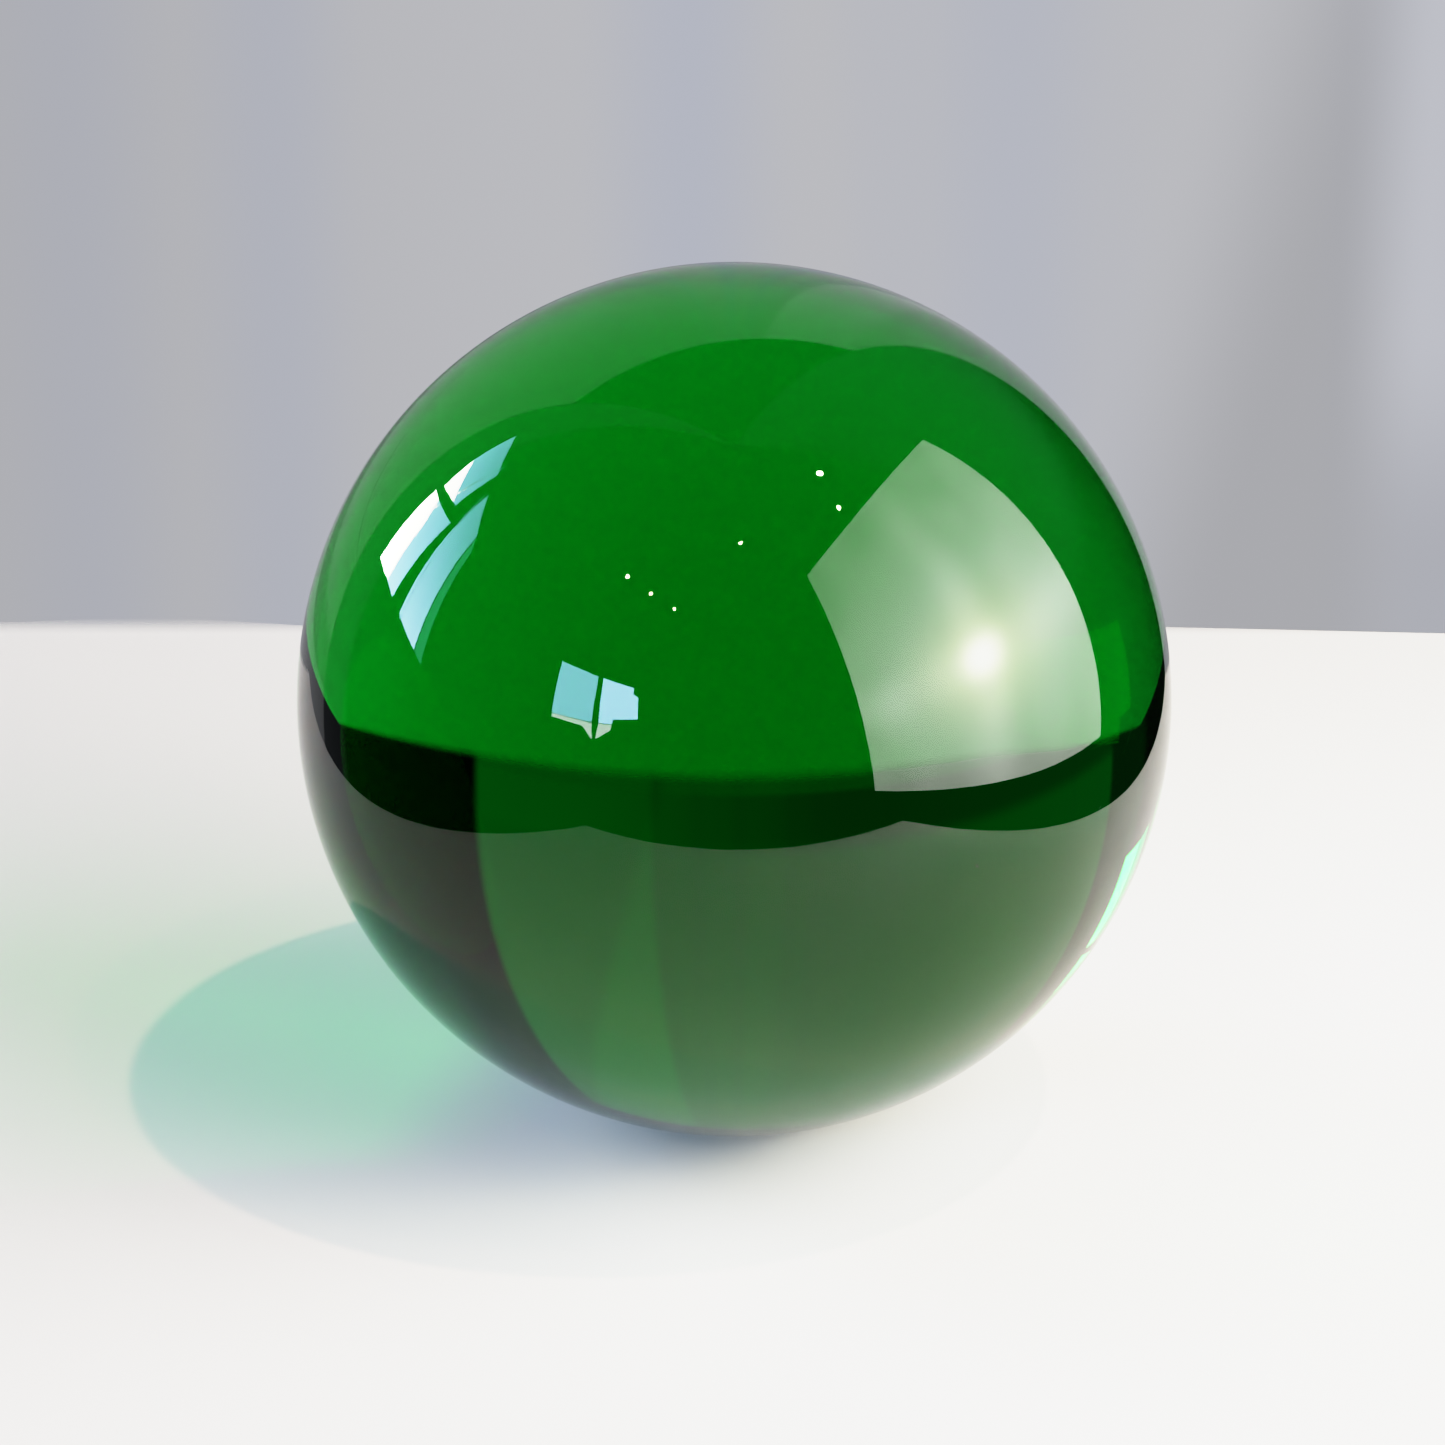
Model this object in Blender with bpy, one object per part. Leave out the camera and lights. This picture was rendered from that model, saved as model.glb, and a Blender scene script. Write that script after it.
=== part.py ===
"""A solid ball of clear green glass that lies free on whatever it is put on.

Metres, +Z up. The origin is the ball's centre, which is also its centre of mass, because the
glass is solid all the way through. The ball touches what it lies on at one point, straight
below its centre, and it has no flat, no bore and no seam.
"""

import bpy
import bmesh

# Driving dimensions, in metres
BALL_DIAMETER = 0.076  # across every line through the centre
BALL_RADIUS = BALL_DIAMETER / 2

# How finely the round surface is divided. Both counts are multiples of four, so the ball
# reaches its full diameter along X, Y and Z, and no facet is more than 0.05 mm under the sphere.
SEGMENTS_AROUND = 64
SEGMENTS_UP = 32

# The glass, as a material
GLASS_GREEN = (0.01, 0.42, 0.10, 1.0)
POLISHED_ROUGHNESS = 0.02
GLASS_IOR = 1.5


def clear_scene():
    """Removes every object that is already in the file."""
    for thing in list(bpy.data.objects):
        bpy.data.objects.remove(thing, do_unlink=True)


def green_glass():
    """Transparent green glass with a polished surface."""
    material = bpy.data.materials.new("green_glass")
    material.use_nodes = True
    shader = material.node_tree.nodes["Principled BSDF"]
    shader.inputs["Base Color"].default_value = GLASS_GREEN
    shader.inputs["Metallic"].default_value = 0.0
    shader.inputs["Roughness"].default_value = POLISHED_ROUGHNESS
    shader.inputs["IOR"].default_value = GLASS_IOR
    shader.inputs["Transmission Weight"].default_value = 1.0
    return material


def glass_ball():
    """The whole object: one solid sphere, with its poles above and below the centre."""
    mesh = bpy.data.meshes.new("glass_ball")
    surface = bmesh.new()
    bmesh.ops.create_uvsphere(
        surface,
        u_segments=SEGMENTS_AROUND,
        v_segments=SEGMENTS_UP,
        radius=BALL_RADIUS,
    )
    bmesh.ops.recalc_face_normals(surface, faces=surface.faces)
    surface.to_mesh(mesh)
    surface.free()
    mesh.shade_smooth()
    mesh.materials.append(green_glass())
    ball = bpy.data.objects.new("glass_ball", mesh)
    bpy.context.scene.collection.objects.link(ball)
    return ball


clear_scene()
glass_ball()
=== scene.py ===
"""A solid green glass ball on a white sheet, with its studio.

Metres, +Z up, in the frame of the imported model: the origin is the ball's centre.
"""

import math

import bpy
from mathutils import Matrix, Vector


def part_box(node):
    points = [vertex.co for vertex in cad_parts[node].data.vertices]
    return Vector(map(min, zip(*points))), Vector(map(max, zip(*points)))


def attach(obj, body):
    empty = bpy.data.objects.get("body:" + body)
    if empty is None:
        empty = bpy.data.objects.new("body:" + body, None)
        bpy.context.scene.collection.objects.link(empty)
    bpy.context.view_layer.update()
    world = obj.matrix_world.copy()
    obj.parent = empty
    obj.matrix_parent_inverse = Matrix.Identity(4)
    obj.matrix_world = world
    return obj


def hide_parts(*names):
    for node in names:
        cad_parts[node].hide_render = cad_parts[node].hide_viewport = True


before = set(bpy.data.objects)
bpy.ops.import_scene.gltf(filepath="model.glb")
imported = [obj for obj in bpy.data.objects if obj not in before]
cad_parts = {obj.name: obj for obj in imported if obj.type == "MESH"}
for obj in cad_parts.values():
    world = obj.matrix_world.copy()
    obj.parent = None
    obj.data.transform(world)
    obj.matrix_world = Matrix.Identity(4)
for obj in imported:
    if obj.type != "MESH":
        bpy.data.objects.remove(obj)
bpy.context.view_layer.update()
scene = bpy.context.scene
scene.cycles.blur_glossy = 0.0  # the light that the ball focuses on the sheet stays sharp


# ------------------------------------------------------------------------------------- camera
# The camera stands a little above the table and looks down on the ball through a long lens.
# It stands 13 ball radii away, which fixes how much of the far side of the table shows.
lowest_corner, highest_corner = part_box("glass_ball")
BALL_RADIUS = (highest_corner.z - lowest_corner.z) / 2
TABLE_TOP = lowest_corner.z

CAMERA_ELEVATION = math.radians(22)
CAMERA_DISTANCE = 13 * BALL_RADIUS
SENSOR_WIDTH = 36.0  # in millimetres, like the lens
BALL_SHARE_OF_WIDTH = 0.6057  # the ball's outline across the picture
AIM_LEFT_OF_CENTRE = 0.0265 * BALL_RADIUS
AIM_BELOW_CENTRE = 0.053 * BALL_RADIUS

camera_data = bpy.data.cameras.new("camera")
camera_data.sensor_width = SENSOR_WIDTH
half_outline = math.tan(math.asin(BALL_RADIUS / CAMERA_DISTANCE))
camera_data.lens = SENSOR_WIDTH * BALL_SHARE_OF_WIDTH / 2 / half_outline
camera_data.clip_start = 0.01
camera_data.clip_end = 20

towards_camera = Vector((0, -math.cos(CAMERA_ELEVATION), math.sin(CAMERA_ELEVATION)))
picture_up = Vector((0, math.sin(CAMERA_ELEVATION), math.cos(CAMERA_ELEVATION)))
aim = Vector((-AIM_LEFT_OF_CENTRE, 0, 0)) - picture_up * AIM_BELOW_CENTRE

camera = bpy.data.objects.new("camera", camera_data)
camera.location = towards_camera * CAMERA_DISTANCE
camera.rotation_euler = (aim - camera.location).to_track_quat("-Z", "Y").to_euler()
scene.collection.objects.link(camera)
scene.camera = camera


# --------------------------------------------------------------------------------- glass ball
# One solid ball of clear green glass, coloured all the way through and polished round, with no
# seam, flat or mould mark. A few seeds, the tiny bubbles that stay in poured glass, lie inside.
BALL_DIVISIONS = 7
SEED_COUNT = 8
SEED_PATTERN = 4
SEED_SMALLEST = 0.00003  # radius
SEED_LARGEST = 0.00007
SEED_INNERMOST = 0.3  # how far out seeds lie, as a share of the ball's radius
SEED_OUTERMOST = 0.86
SEED_DIVISIONS = 3

GLASS_IOR = 1.5
ABSORPTION = 100.0  # per metre, for a colour of black
ABSORPTION_COLOUR = (0.004, 0.757, 0.37, 1.0)  # 1 for a colour that isn't swallowed at all

# Hairlines that the last polish left: each is a thin circle cut by a plane, given by the plane's
# direction, how far out it lies and the side of the ball that the line keeps to.
HAIRLINE_WIDTH = 0.00006  # from a line's middle to where it ends
HAIRLINE_DEPTH = 0.000002
HAIRLINE_ROUGHNESS = 0.2
HAIRLINE_STARTS = 0.1  # in ball radii towards the side that the line keeps to
HAIRLINE_WHOLE = 0.5
BREAK_SCALE = 90.0
BREAK_FROM = 0.40  # the noise values where a line is broken off and where it is whole
BREAK_TO = 0.55
HAIRLINES = (
    ((-0.07, 0.99, -0.14), -0.55, (0.0, 0.2, 1.0)),
    ((0.62, 0.35, -0.70), 0.30, (0.8, 0.6, 0.4)),
    ((-0.35, 0.60, 0.72), 0.42, (-0.9, 0.5, 0.4)),
    ((0.20, -0.55, 0.81), 0.66, (0.3, 0.9, 0.3)),
    ((0.90, -0.40, 0.15), -0.48, (-0.6, -0.7, -0.2)),
)


def add_node(tree, kind, **inputs):
    """A new node of that kind, with values or links put into the inputs that are named."""
    node = tree.nodes.new(kind)
    for name, value in inputs.items():
        feed(tree, node.inputs[name.replace("_", " ")], value)
    return node


def feed(tree, socket, value):
    """Puts a number, a colour or another node's output into a socket."""
    if isinstance(value, bpy.types.NodeSocket):
        tree.links.new(value, socket)
    else:
        socket.default_value = value


def maths(tree, operation, *values):
    """A Math node's result."""
    node = tree.nodes.new("ShaderNodeMath")
    node.operation = operation
    for socket, value in zip(node.inputs, values):
        feed(tree, socket, value)
    return node.outputs[0]


def product(tree, first, *others):
    """Everything multiplied."""
    for other in others:
        first = maths(tree, "MULTIPLY", first, other)
    return first


def smooth_step(tree, value, low, high, out_low=0.0, out_high=1.0):
    """Goes smoothly from out_low to out_high while value goes from low to high."""
    node = tree.nodes.new("ShaderNodeMapRange")
    node.interpolation_type = "SMOOTHSTEP"
    for name, number in (("Value", value), ("From Min", low), ("From Max", high),
                         ("To Min", out_low), ("To Max", out_high)):
        feed(tree, node.inputs[name], number)
    return node.outputs["Result"]


def along(tree, place, direction):
    """How far a place lies along a direction from the ball's centre."""
    node = tree.nodes.new("ShaderNodeVectorMath")
    node.operation = "DOT_PRODUCT"
    tree.links.new(place, node.inputs[0])
    node.inputs[1].default_value = Vector(direction).normalized()
    return node.outputs["Value"]


def hairlines(tree, here):
    """1 in the middle of each hairline and 0 beside it. Each one fades out and breaks off."""
    breaks = add_node(tree, "ShaderNodeTexNoise", Vector=here, Scale=BREAK_SCALE, Detail=2.0)
    whole = smooth_step(tree, breaks.outputs[0], BREAK_FROM, BREAK_TO)
    lines = 0.0
    for across, offset, side in HAIRLINES:
        gap = maths(tree, "SUBTRACT", along(tree, here, across), offset * BALL_RADIUS)
        line = smooth_step(tree, maths(tree, "ABSOLUTE", gap), 0.0, HAIRLINE_WIDTH, 1.0, 0.0)
        kept = smooth_step(tree, along(tree, here, side),
                           HAIRLINE_STARTS * BALL_RADIUS, HAIRLINE_WHOLE * BALL_RADIUS)
        lines = maths(tree, "MAXIMUM", maths(tree, "MULTIPLY", line, kept), lines)
    return maths(tree, "MULTIPLY", lines, whole)


def polished_green_glass():
    """Clear glass that swallows red first, blue next and green last, polished bright."""
    material = bpy.data.materials.new("polished_green_glass")
    material.use_nodes = True
    tree = material.node_tree
    glass = tree.nodes["Principled BSDF"]
    glass.inputs["Base Color"].default_value = (1, 1, 1, 1)
    here = tree.nodes.new("ShaderNodeTexCoord").outputs["Object"]
    lines = hairlines(tree, here)
    feed(tree, glass.inputs["Roughness"], maths(tree, "MULTIPLY", lines, HAIRLINE_ROUGHNESS))
    groove = add_node(tree, "ShaderNodeBump", Height=lines, Distance=HAIRLINE_DEPTH)
    groove.invert = True
    tree.links.new(groove.outputs["Normal"], glass.inputs["Normal"])
    glass.inputs["IOR"].default_value = GLASS_IOR
    glass.inputs["Transmission Weight"].default_value = 1.0

    inside = add_node(tree, "ShaderNodeVolumeAbsorption", Color=ABSORPTION_COLOUR,
                      Density=ABSORPTION)
    output = tree.nodes["Material Output"]
    tree.links.new(inside.outputs["Volume"], output.inputs["Volume"])
    return material


def random_values(tree, kind, low, high, pattern):
    """A random value of that kind for each point."""
    node = tree.nodes.new("FunctionNodeRandomValue")
    node.data_type = kind
    first = {"FLOAT_VECTOR": 0, "FLOAT": 2}[kind]
    feed(tree, node.inputs[first], low)
    feed(tree, node.inputs[first + 1], high)
    feed(tree, node.inputs["Seed"], pattern)
    return node.outputs[first // 2]


def ball_tree():
    """Geometry Nodes: the polished sphere, with its seeds as small hollows in the same solid."""
    tree = bpy.data.node_groups.new("pressed_glass_ball", "GeometryNodeTree")
    for name, kind, value in (("Radius", "NodeSocketFloat", BALL_RADIUS),
                              ("Divisions", "NodeSocketInt", BALL_DIVISIONS),
                              ("Seed Count", "NodeSocketInt", SEED_COUNT),
                              ("Smallest Seed", "NodeSocketFloat", SEED_SMALLEST),
                              ("Largest Seed", "NodeSocketFloat", SEED_LARGEST),
                              ("Random Seed", "NodeSocketInt", SEED_PATTERN),
                              ("Glass", "NodeSocketMaterial", None)):
        socket = tree.interface.new_socket(name, in_out="INPUT", socket_type=kind)
        if value is not None:
            socket.default_value = value
    tree.interface.new_socket("Geometry", in_out="OUTPUT", socket_type="NodeSocketGeometry")
    given = tree.nodes.new("NodeGroupInput").outputs

    skin = add_node(tree, "GeometryNodeMeshIcoSphere", Radius=given["Radius"],
                    Subdivisions=given["Divisions"])

    pattern = given["Random Seed"]
    unit = tree.nodes.new("ShaderNodeVectorMath")
    unit.operation = "NORMALIZE"
    feed(tree, unit.inputs[0], random_values(tree, "FLOAT_VECTOR", (-1, -1, -1), (1, 1, 1), pattern))
    depth = random_values(tree, "FLOAT", SEED_INNERMOST, SEED_OUTERMOST, pattern)
    place = tree.nodes.new("ShaderNodeVectorMath")
    place.operation = "SCALE"
    feed(tree, place.inputs[0], unit.outputs[0])
    feed(tree, place.inputs["Scale"], product(tree, depth, given["Radius"]))
    spots = add_node(tree, "GeometryNodePoints", Count=given["Seed Count"], Position=place.outputs[0])

    size = random_values(tree, "FLOAT", given["Smallest Seed"], given["Largest Seed"], pattern)
    bubble = add_node(tree, "GeometryNodeMeshIcoSphere", Radius=1.0, Subdivisions=SEED_DIVISIONS)
    hollow = add_node(tree, "GeometryNodeFlipFaces", Mesh=bubble.outputs["Mesh"])
    seeds = add_node(tree, "GeometryNodeInstanceOnPoints", Points=spots.outputs[0],
                     Instance=hollow.outputs["Mesh"], Scale=size)

    joined = tree.nodes.new("GeometryNodeJoinGeometry")
    tree.links.new(seeds.outputs["Instances"], joined.inputs[0])
    tree.links.new(skin.outputs["Mesh"], joined.inputs[0])
    plain = add_node(tree, "GeometryNodeRealizeInstances", Geometry=joined.outputs[0])
    round_look = add_node(tree, "GeometryNodeSetShadeSmooth", Geometry=plain.outputs[0])
    finished = add_node(tree, "GeometryNodeSetMaterial", Geometry=round_look.outputs[0],
                        Material=given["Glass"])
    result = tree.nodes.new("NodeGroupOutput")
    tree.links.new(finished.outputs[0], result.inputs["Geometry"])
    return tree


def grown(name, tree, material_input, material):
    """Runs a Geometry Nodes tree on an empty mesh and keeps the result as a plain mesh."""
    carrier = bpy.data.objects.new(name + "_carrier", bpy.data.meshes.new(name + "_carrier"))
    scene.collection.objects.link(carrier)
    modifier = carrier.modifiers.new(name, "NODES")
    modifier.node_group = tree
    for item in tree.interface.items_tree:
        if item.in_out == "INPUT" and item.name == material_input:
            modifier[item.identifier] = material
    bpy.context.view_layer.update()
    evaluated = carrier.evaluated_get(bpy.context.evaluated_depsgraph_get())
    mesh = bpy.data.meshes.new_from_object(evaluated)
    mesh.name = name
    bpy.data.objects.remove(carrier)
    piece = bpy.data.objects.new(name, mesh)
    scene.collection.objects.link(piece)
    return piece


ball = grown("green_glass_ball", ball_tree(), "Glass", polished_green_glass())
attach(ball, "root")
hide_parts("glass_ball")


# -------------------------------------------------------------------------------- white sheet
# A plain sheet of white card under the ball. It ends not far behind and beside the ball, so its
# edges show as the curved border of the pale veil that the ball's lower half mirrors.
SHEET_OUTLINE = (  # in ball radii, and the back edge waves a little
    (-3.1, -4.6), (3.6, -4.4), (2.34, 2.96), (1.2, 3.03), (0.0, 3.04), (-1.2, 3.03), (-1.7, 3.11),
    (-2.04, 3.06), (-3.0, 3.05),
)
SHEET_FADES_FROM = 2.96
SHEET_FADES_TO = 3.10
# For every ray but the camera's own, the soft edge is taken this much nearer at its left and its
# right end, and goes from the one to the other between these two places. All in ball radii.
EDGE_NEARER_LEFT = 0.05
EDGE_NEARER_RIGHT = 0.17
EDGE_LEFT_PLACE = -1.4
EDGE_RIGHT_PLACE = -0.6
SHEET_WHITE = (0.74, 0.73, 0.725, 1.0)


def flat_panel(name, corners, material):
    """A flat panel, whose front is where its corners run anticlockwise."""
    mesh = bpy.data.meshes.new(name)
    mesh.from_pydata([tuple(corner) for corner in corners], [], [tuple(range(len(corners)))])
    mesh.materials.append(material)
    panel = bpy.data.objects.new(name, mesh)
    scene.collection.objects.link(panel)
    return panel


def white_card():
    """Matt white card, whose back edge is soft."""
    material = bpy.data.materials.new("white_card")
    material.use_nodes = True
    tree = material.node_tree
    card = tree.nodes["Principled BSDF"]
    card.inputs["Base Color"].default_value = SHEET_WHITE
    card.inputs["Roughness"].default_value = 0.9
    card.inputs["Specular IOR Level"].default_value = 0.2
    split = tree.nodes.new("ShaderNodeSeparateXYZ")
    tree.links.new(tree.nodes.new("ShaderNodeTexCoord").outputs["Object"], split.inputs[0])
    nearer = smooth_step(tree, split.outputs["X"],
                         EDGE_LEFT_PLACE * BALL_RADIUS, EDGE_RIGHT_PLACE * BALL_RADIUS,
                         EDGE_NEARER_LEFT * BALL_RADIUS, EDGE_NEARER_RIGHT * BALL_RADIUS)
    camera_ray = tree.nodes.new("ShaderNodeLightPath").outputs["Is Camera Ray"]
    other_ray = maths(tree, "SUBTRACT", 1.0, camera_ray)
    back = maths(tree, "ADD", split.outputs["Y"], product(tree, nearer, other_ray))
    solid = smooth_step(tree, back, SHEET_FADES_FROM * BALL_RADIUS, SHEET_FADES_TO * BALL_RADIUS,
                        1.0, 0.0)
    tree.links.new(solid, card.inputs["Alpha"])
    return material


def on_table(outline):
    """The corners of an outline in ball radii that lies on the table top."""
    return [(side * BALL_RADIUS, back * BALL_RADIUS, TABLE_TOP) for side, back in outline]


white = white_card()
flat_panel("white_sheet", on_table(SHEET_OUTLINE), white)
# The same white goes on to the sides and the front, but only where it is seen directly.
TABLE_REACH = 22.0
front_left, front_right, back_right = SHEET_OUTLINE[:3]
back_left = SHEET_OUTLINE[-1]
table_outline = (
    back_right, front_right, front_left, back_left, (-TABLE_REACH, back_left[1]),
    (-TABLE_REACH, -TABLE_REACH), (TABLE_REACH, -TABLE_REACH), (TABLE_REACH, back_right[1]),
)
table = flat_panel("white_table", on_table(table_outline), white)
table.visible_diffuse = False
table.visible_glossy = False
table.visible_transmission = False
table.visible_shadow = False


# ----------------------------------------------------------------------------------- backdrop
# A grey cloth hangs behind the table in soft upright folds, and the room around it is dark. All
# of it is far enough away to be the world, given by compass direction and height over the horizon.
# A compass direction counts from +Y towards +X. Where two angles stand together, in degrees, a
# change starts at the first and is complete at the second.
CLOTH_LEFT = math.radians(-47)
CLOTH_RIGHT = math.radians(24.5)
CLOTH_FACING = math.radians(-20)
CLOTH_EDGE = math.radians(0.7)  # how soft the cloth's edges are
CLOTH_RISE = 1.32  # the height of the cloth's top over its distance
CLOTH_GREY = (0.485, 0.488, 0.515, 1.0)
CLOTH_BLUE = (0.445, 0.462, 0.53, 1.0)
CLOTH_PLEATS = (  # compass direction and half width in degrees, and how blue
    (-6.9, 1.2, 0.5), (-4.8, 1.1, 0.7), (-0.5, 1.3, 1.0), (2.9, 1.5, 0.8),
)
FOLDS_PER_RADIAN = 14.0
FOLDS_LEAN = 0.8
BLUE_FOLDS_FROM = 0.50  # noise values
BLUE_FOLDS_TO = 0.72
BLUE_FOLDS_SHARE = 0.5
SHADE_TOP = (-11, -8)
SHADE_BOTTOM = (-14.8, -14.0)
SHADE_TURNS = (-12, 16)  # darkest on the left, and a little lighter than the rest on the right
SHADE_DARKEST = 0.6
SHADE_LIGHTEST = 1.08
RISING = (-5, 40)
RISING_LIGHT = 1.2
LEFT_DIM = (-9, -1)
LEFT_DIM_LIGHT = 0.86
DEEP_FOLD = (9.3, 11.3)
DEEP_FOLD_LEAN = 0.29
DEEP_FOLD_LIGHT = 0.81
BESIDE_FOLD = (6.3, 7.3)
BESIDE_FOLD_LIGHT = 0.27
BESIDE_FOLD_HEIGHT = (-20.5, -18)
BESIDE_FOLD_LOW_SHARE = 0.25
ROOM_LEFT_FROM = (-62, -58)
ROOM_RIGHT_TO = (75, 95)
ROOM_RIGHT_HEIGHT = (5, 17)
ROOM_DARK = (0.010, 0.010, 0.011, 1.0)
ROOM_LEFT = (0.13, 0.13, 0.15, 1.0)
ROOM_RIGHT = (0.09, 0.13, 0.12, 1.0)

world = bpy.data.worlds.new("studio")
scene.world = world
world.use_nodes = True
sky = world.node_tree


def mixed(tree, share, first, second):
    """One colour going over to another."""
    node = tree.nodes.new("ShaderNodeMix")
    node.data_type = "RGBA"
    feed(tree, node.inputs[0], share)
    feed(tree, node.inputs[6], first)
    feed(tree, node.inputs[7], second)
    return node.outputs[2]


def over_angles(angle, angles, out_low=0.0, out_high=1.0):
    """Goes smoothly from out_low to out_high while an angle goes from one to the other."""
    low, high = angles
    return smooth_step(sky, angle, math.radians(low), math.radians(high), out_low, out_high)


def past_edge(angle, place, out_low=0.0, out_high=1.0):
    """Goes from out_low to out_high where an angle passes an edge of the cloth."""
    return smooth_step(sky, angle, place - CLOTH_EDGE, place + CLOTH_EDGE, out_low, out_high)


direction = sky.nodes.new("ShaderNodeTexCoord").outputs["Generated"]
parts = sky.nodes.new("ShaderNodeSeparateXYZ")
sky.links.new(direction, parts.inputs[0])
compass = maths(sky, "ARCTAN2", parts.outputs["X"], parts.outputs["Y"])
height = maths(sky, "ARCSINE", parts.outputs["Z"])

# The folds are not shaped: they are painted as streaks of bluer light in the cloth's colour.
fold_place = maths(sky, "ADD", product(sky, compass, FOLDS_PER_RADIAN),
                   product(sky, height, FOLDS_LEAN))
folds = sky.nodes.new("ShaderNodeTexNoise")
folds.noise_dimensions = "1D"
feed(sky, folds.inputs["W"], fold_place)
folds.inputs["Scale"].default_value = 1.0
folds.inputs["Detail"].default_value = 2.0
folds.inputs["Roughness"].default_value = 0.5
blueness = smooth_step(sky, folds.outputs[0], BLUE_FOLDS_FROM, BLUE_FOLDS_TO, 0.0,
                       BLUE_FOLDS_SHARE)
for place, half_width, blue in CLOTH_PLEATS:
    beside = maths(sky, "ABSOLUTE", maths(sky, "SUBTRACT", compass, math.radians(place)))
    blueness = maths(sky, "MAXIMUM", blueness, over_angles(beside, (0, half_width), blue, 0.0))
cloth_colour = mixed(sky, blueness, CLOTH_GREY, CLOTH_BLUE)

inside_left = past_edge(compass, CLOTH_LEFT)
inside_right = past_edge(compass, CLOTH_RIGHT, 1.0, 0.0)
facing = maths(sky, "COSINE", maths(sky, "SUBTRACT", compass, CLOTH_FACING))
top = maths(sky, "ARCTANGENT", product(sky, facing, CLOTH_RISE))
inside_top = past_edge(maths(sky, "SUBTRACT", height, top), 0.0, 1.0, 0.0)
on_cloth = product(sky, inside_left, inside_right, inside_top)
# Seen directly, the same plain cloth goes on all round. The dark room only shows in the glass.
seen_directly = sky.nodes.new("ShaderNodeLightPath").outputs["Is Camera Ray"]
on_cloth = maths(sky, "MAXIMUM", on_cloth, seen_directly)

# The lower part of the cloth lies in the table's shadow, and below that it catches light again.
# The shade only shows in the glass.
shade_top = over_angles(height, SHADE_TOP)
shade_bottom = over_angles(height, SHADE_BOTTOM, 1.0, 0.0)
shade = maths(sky, "MAXIMUM", maths(sky, "MAXIMUM", shade_top, shade_bottom), seen_directly)
deepest_shade = over_angles(compass, SHADE_TURNS, SHADE_DARKEST, SHADE_LIGHTEST)
cloth_light = smooth_step(sky, shade, 0.0, 1.0, deepest_shade, 1.0)
# Painted light: the cloth grows lighter as it rises and is dimmer on the left.
rising = over_angles(height, RISING, 1.0, RISING_LIGHT)
left_dim = over_angles(compass, LEFT_DIM, LEFT_DIM_LIGHT, 1.0)
# One deep fold, painted as a band of shade, leans to the right as it rises.
# The cloth right of it catches painted light higher up.
from_fold = maths(sky, "SUBTRACT", compass, product(sky, height, DEEP_FOLD_LEAN))
deep_fold_shade = over_angles(from_fold, DEEP_FOLD, 1.0, DEEP_FOLD_LIGHT)
fold_right = over_angles(compass, BESIDE_FOLD, 0.0, BESIDE_FOLD_LIGHT)
fold_height = over_angles(height, BESIDE_FOLD_HEIGHT, BESIDE_FOLD_LOW_SHARE, 1.0)
fold = maths(sky, "ADD", deep_fold_shade, product(sky, fold_right, fold_height))
cloth_strength = product(sky, cloth_light, rising, left_dim, fold)
lit_cloth = sky.nodes.new("ShaderNodeVectorMath")
lit_cloth.operation = "SCALE"
sky.links.new(cloth_colour, lit_cloth.inputs[0])
sky.links.new(cloth_strength, lit_cloth.inputs["Scale"])

left_of_cloth = product(sky, over_angles(compass, ROOM_LEFT_FROM),
                        past_edge(compass, CLOTH_LEFT, 1.0, 0.0))
right_of_cloth = product(sky, past_edge(compass, CLOTH_RIGHT),
                         over_angles(compass, ROOM_RIGHT_TO, 1.0, 0.0),
                         over_angles(height, ROOM_RIGHT_HEIGHT))
room = mixed(sky, left_of_cloth, ROOM_DARK, ROOM_LEFT)
room = mixed(sky, right_of_cloth, room, ROOM_RIGHT)
surroundings = mixed(sky, on_cloth, room, lit_cloth.outputs[0])
background = sky.nodes["Background"]
sky.links.new(surroundings, background.inputs["Color"])
background.inputs["Strength"].default_value = 1.0


# ------------------------------------------------------------------------------------- lights
# A square of diffusing cloth stands close by on the right, with the bulb behind it showing
# through as a hot spot. Two tall windows on the left, a small one to the left behind the camera
# and six small lamps overhead do the rest.
DIFFUSER_CENTRE = Vector((0.198, -0.090, 0.133))
DIFFUSER_DOWN = Vector((0.030, -0.018, -0.167))  # from the centre to the middle of its lower side
DIFFUSER_NEAR = Vector((-0.047, -0.165, 0.018))  # from the centre to its side nearest the camera
HOT_SPOT = Vector((0.211, -0.088, 0.076))
CLOTH_EVEN_LIGHT = 2.5
BULB_BEHIND_CLOTH = 0.086
BULB_LIGHT = 9.2
CORE_LIGHT = 28.0
CORE_RADIUS = 0.0145
BULB_LEVEL_STRETCH = 1.5  # a long bulb that lies level, so its light spreads further sideways
STREAK_LIGHT = 0.5  # the weave draws the bulb's light out along its own threads
STREAK_WIDTH = 0.027
COOL_WHITE = (1.0, 0.99, 0.94, 1.0)
WARM_WHITE = (1.0, 0.98, 0.72, 1.0)
WARM_REACH = 0.09
WEAVE_SCALE = 14.0
WEAVE_DARKEST = 0.93
WEAVE_LIGHTEST = 1.07


def glowing(name, colour, strength=1.0):
    """A material that only gives off light."""
    material = bpy.data.materials.new(name)
    material.use_nodes = True
    tree = material.node_tree
    tree.nodes.remove(tree.nodes["Principled BSDF"])
    glow = add_node(tree, "ShaderNodeEmission", Color=colour, Strength=strength)
    tree.links.new(glow.outputs[0], tree.nodes["Material Output"].inputs["Surface"])
    return material, tree, glow


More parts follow.
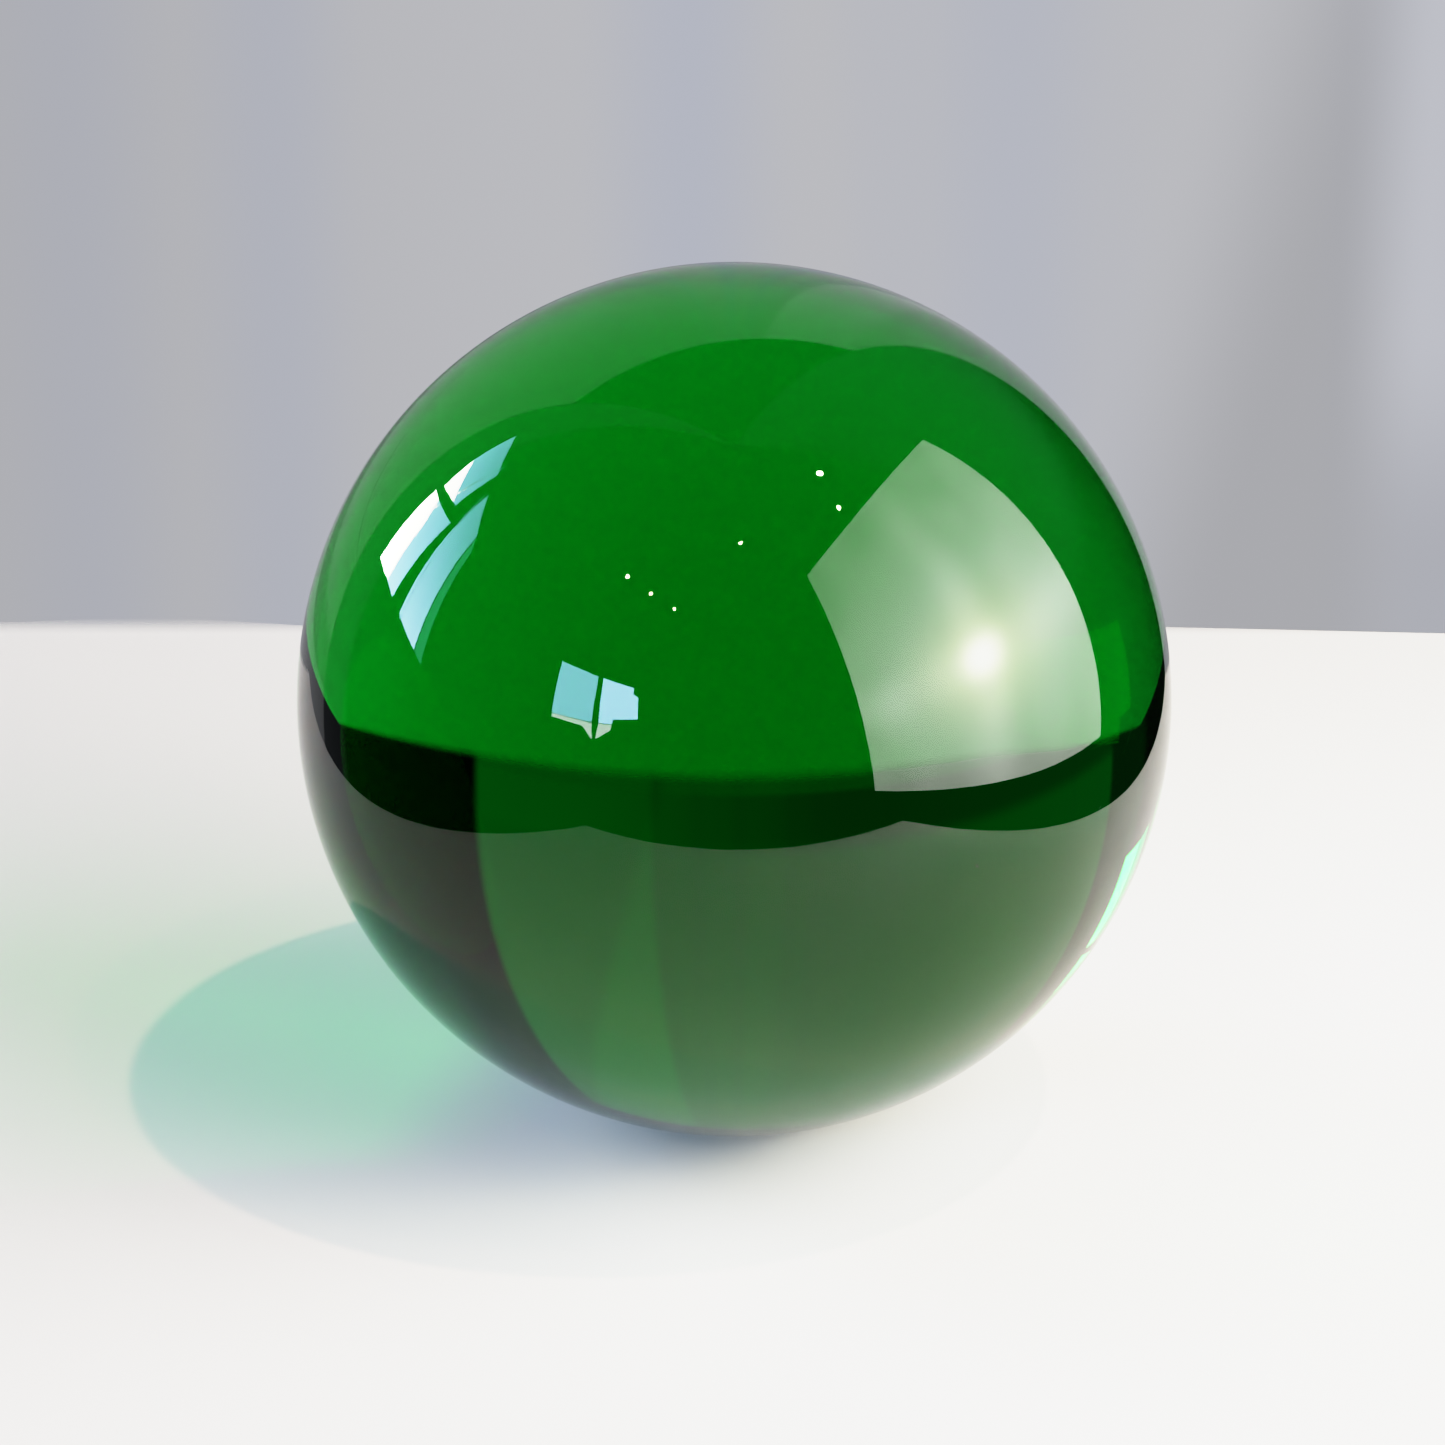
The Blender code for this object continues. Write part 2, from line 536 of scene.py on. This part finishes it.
def diffusing_cloth():
    """White cloth with a bulb behind it: warm and brightest in front of the bulb, cool further out."""
    material, tree, glow = glowing("diffusing_cloth", COOL_WHITE)
    here = tree.nodes.new("ShaderNodeTexCoord").outputs["Object"]
    gap = tree.nodes.new("ShaderNodeVectorMath")
    gap.operation = "SUBTRACT"
    tree.links.new(here, gap.inputs[0])
    gap.inputs[1].default_value = HOT_SPOT
    upright = maths(tree, "POWER", along(tree, gap.outputs[0], DIFFUSER_DOWN), 2.0)
    level = maths(tree, "POWER", along(tree, gap.outputs[0], DIFFUSER_NEAR), 2.0)
    apart = maths(tree, "ADD", upright, maths(tree, "DIVIDE", level, BULB_LEVEL_STRETCH ** 2))
    spread = maths(tree, "DIVIDE", BULB_LIGHT,
                   maths(tree, "ADD", maths(tree, "DIVIDE", apart, BULB_BEHIND_CLOTH ** 2), 1.0))
    streaks = 1.0
    for across in (upright, level):
        thin = maths(tree, "EXPONENT", maths(tree, "DIVIDE", across, -STREAK_WIDTH ** 2))
        streaks = maths(tree, "ADD", maths(tree, "MULTIPLY", thin, STREAK_LIGHT), streaks)
    spread = product(tree, spread, streaks)
    core = maths(tree, "EXPONENT", maths(tree, "DIVIDE", apart, -CORE_RADIUS ** 2))
    core = product(tree, core, CORE_LIGHT)
    light = maths(tree, "ADD", maths(tree, "ADD", spread, core), CLOTH_EVEN_LIGHT)
    weave = add_node(tree, "ShaderNodeTexNoise", Vector=here, Scale=WEAVE_SCALE, Detail=0.0)
    mottle = smooth_step(tree, weave.outputs[0], 0.3, 0.7, WEAVE_DARKEST, WEAVE_LIGHTEST)
    tree.links.new(product(tree, light, mottle), glow.inputs["Strength"])
    warmth = smooth_step(tree, maths(tree, "SQRT", apart), 0.0, WARM_REACH, 1.0, 0.0)
    tree.links.new(mixed(tree, warmth, COOL_WHITE, WARM_WHITE), glow.inputs["Color"])
    return material


diffuser = flat_panel("diffuser", [
    DIFFUSER_CENTRE + DIFFUSER_NEAR - DIFFUSER_DOWN,
    DIFFUSER_CENTRE + DIFFUSER_NEAR + DIFFUSER_DOWN,
    DIFFUSER_CENTRE - DIFFUSER_NEAR + DIFFUSER_DOWN,
    DIFFUSER_CENTRE - DIFFUSER_NEAR - DIFFUSER_DOWN,
], diffusing_cloth())
diffuser.visible_camera = False

# Each window pane is a panel on an upright wall, which faces the ball from a compass direction.
# Its corners are given along the wall and up, as shares of the wall's distance.
WINDOW_WALL = (math.radians(-35), 1.2)
FRONT_WALL = (math.radians(-129), 1.3)
SKY_LOW = (0.42, 0.62, 1.0, 1.0)
SKY_HIGH = (0.35, 0.65, 1.0, 1.0)
SKY_LOW_LIGHT = 23.0
SKY_HIGH_LIGHT = 7.0
WINDOW_FOOT = 0.15  # heights, as shares of the wall's distance
WINDOW_HEAD = 0.9


def window_pane(name, wall, corners, material):
    """A pane on a wall. Corners run anticlockwise as seen from the ball."""
    facing, distance = wall
    outwards = Vector((math.sin(facing), math.cos(facing), 0))
    sideways = Vector((math.cos(facing), -math.sin(facing), 0))
    places = [(outwards + sideways * side + Vector((0, 0, up))) * distance for side, up in corners]
    pane = flat_panel(name, places, material)
    pane.visible_camera = False


def tall_window_sky():
    """Bright pale sky low down, and deeper blue higher up."""
    material, tree, glow = glowing("tall_window_sky", SKY_LOW)
    distance = WINDOW_WALL[1]
    split = tree.nodes.new("ShaderNodeSeparateXYZ")
    tree.links.new(tree.nodes.new("ShaderNodeTexCoord").outputs["Object"], split.inputs[0])
    share = smooth_step(tree, split.outputs["Z"], WINDOW_FOOT * distance, WINDOW_HEAD * distance)
    tall = WINDOW_HEAD - WINDOW_FOOT
    above = maths(tree, "SUBTRACT", maths(tree, "DIVIDE", split.outputs["Z"], tall * distance),
                  WINDOW_FOOT / tall)
    fall = maths(tree, "POWER", SKY_HIGH_LIGHT / SKY_LOW_LIGHT, above)
    tree.links.new(mixed(tree, share, SKY_LOW, SKY_HIGH), glow.inputs["Color"])
    tree.links.new(product(tree, fall, SKY_LOW_LIGHT), glow.inputs["Strength"])
    return material


tall_sky = tall_window_sky()
white_wall = glowing("sunlit_wall", (1.0, 0.96, 0.92, 1.0), 54.0)[0]
pale_reveal = glowing("window_reveal", (0.3, 1.0, 0.85, 1.0), 2.2)[0]
window_pane("window_left_pane", WINDOW_WALL,
            ((-1.20, 0.205), (-0.844, 0.216), (-0.78, 0.935), (-1.094, 0.923)), tall_sky)
window_pane("window_reveal", WINDOW_WALL,
            ((-1.38, 0.19), (-1.215, 0.204), (-1.11, 0.915), (-1.20, 0.88)), pale_reveal)
window_pane("window_upper_pane", WINDOW_WALL,
            ((-0.647, 0.643), (-0.602, 0.618), (-0.413, 0.669), (-0.39, 0.923), (-0.651, 0.948)), tall_sky)
window_pane("window_lower_pane", WINDOW_WALL,
            ((-0.70, 0.20), (-0.578, 0.192), (-0.56, 0.43), (-0.50, 0.50), (-0.743, 0.633)), tall_sky)
window_pane("sunlit_lower_pane", WINDOW_WALL,
            ((-0.578, 0.192), (-0.415, 0.16), (-0.421, 0.463), (-0.50, 0.50), (-0.56, 0.43)), white_wall)
window_pane("sunlit_upper_pane", WINDOW_WALL,
            ((-0.602, 0.618), (-0.444, 0.514), (-0.413, 0.669)), white_wall)
small_sky = glowing("small_window_sky", (0.37, 0.67, 1.0, 1.0), 14.8)[0]
small_bright_sky = glowing("small_window_bright_sky", (0.39, 0.60, 1.0, 1.0), 26.0)[0]
small_white = glowing("small_window_sill", (0.95, 0.95, 1.0, 1.0), 11.5)[0]
window_pane("small_window_left", FRONT_WALL,
            ((-0.248, 0.224), (-0.049, 0.212), (-0.030, 0.446), (-0.235, 0.441)), small_sky)
window_pane("small_window_right", FRONT_WALL,
            ((-0.349, 0.240), (-0.351, 0.264), (-0.485, 0.300), (-0.472, 0.412), (-0.440, 0.417),
             (-0.436, 0.452), (-0.262, 0.443), (-0.281, 0.230)), small_bright_sky)
window_pane("small_window_sill", FRONT_WALL,
            ((-0.262, 0.150), (-0.205, 0.197), (-0.052, 0.196), (-0.049, 0.210), (-0.248, 0.221)),
            small_white)
window_pane("sunlit_roof", FRONT_WALL,
            ((-0.350, 0.213), (-0.348, 0.237), (-0.281, 0.227), (-0.276, 0.155)), small_white)

LAMP_DISTANCE = 1.3
WARM_LAMP = (1.0, 0.62, 0.42)
LAMP_BOUNCES = 2  # how often their light may be passed on
LAMPS = (  # the direction from the ball, the watts and the radius
    ((0.317, -0.094, 0.944), 22.0, 0.015),
    ((0.400, -0.230, 0.887), 3.0, 0.012),
    ((0.025, -0.472, 0.881), 0.7, 0.011),
    ((-0.434, -0.507, 0.745), 0.8, 0.013),
    ((-0.347, -0.603, 0.718), 0.5, 0.011),
    ((-0.253, -0.681, 0.687), 0.5, 0.010),
)
for number, (towards, watts, radius) in enumerate(LAMPS, 1):
    lamp_data = bpy.data.lights.new(f"ceiling_lamp_{number}", "POINT")
    lamp_data.energy = watts
    lamp_data.color = WARM_LAMP
    lamp_data.shadow_soft_size = radius
    lamp_data.cycles.max_bounces = LAMP_BOUNCES
    lamp = bpy.data.objects.new(lamp_data.name, lamp_data)
    lamp.location = Vector(towards).normalized() * LAMP_DISTANCE
    lamp.visible_transmission = False  # they show in the mirror image, not through the glass
    scene.collection.objects.link(lamp)


# ---------------------------------------------------------------------------------- last steps
# The view has a contrast curve: darks go a little deeper, and whites are held back from burning
# out, except the brightest highlights.
RESPONSE_WHITE = 4.0
RESPONSE_MIDDLE = 0.58
RESPONSE_CONTRAST = 1.45
SHOULDER = 0.92
HIGHLIGHTS_FROM = 1.6
HIGHLIGHTS_RISE = 1.5
RESPONSE_POINTS = 28

view = scene.view_settings
view.view_transform = "Standard"
view.use_curve_mapping = True
response = view.curve_mapping
response.white_level = (RESPONSE_WHITE,) * 3
curve = response.curves[3]
for number in range(1, RESPONSE_POINTS):
    light = RESPONSE_WHITE * (number / RESPONSE_POINTS) ** 2
    shown = SHOULDER * (1 - math.exp(-(light / RESPONSE_MIDDLE) ** RESPONSE_CONTRAST))
    above = max(0.0, light - HIGHLIGHTS_FROM) / (RESPONSE_WHITE - HIGHLIGHTS_FROM)
    curve.points.new(light / RESPONSE_WHITE, shown + (1 - SHOULDER) * above ** HIGHLIGHTS_RISE)
response.update()
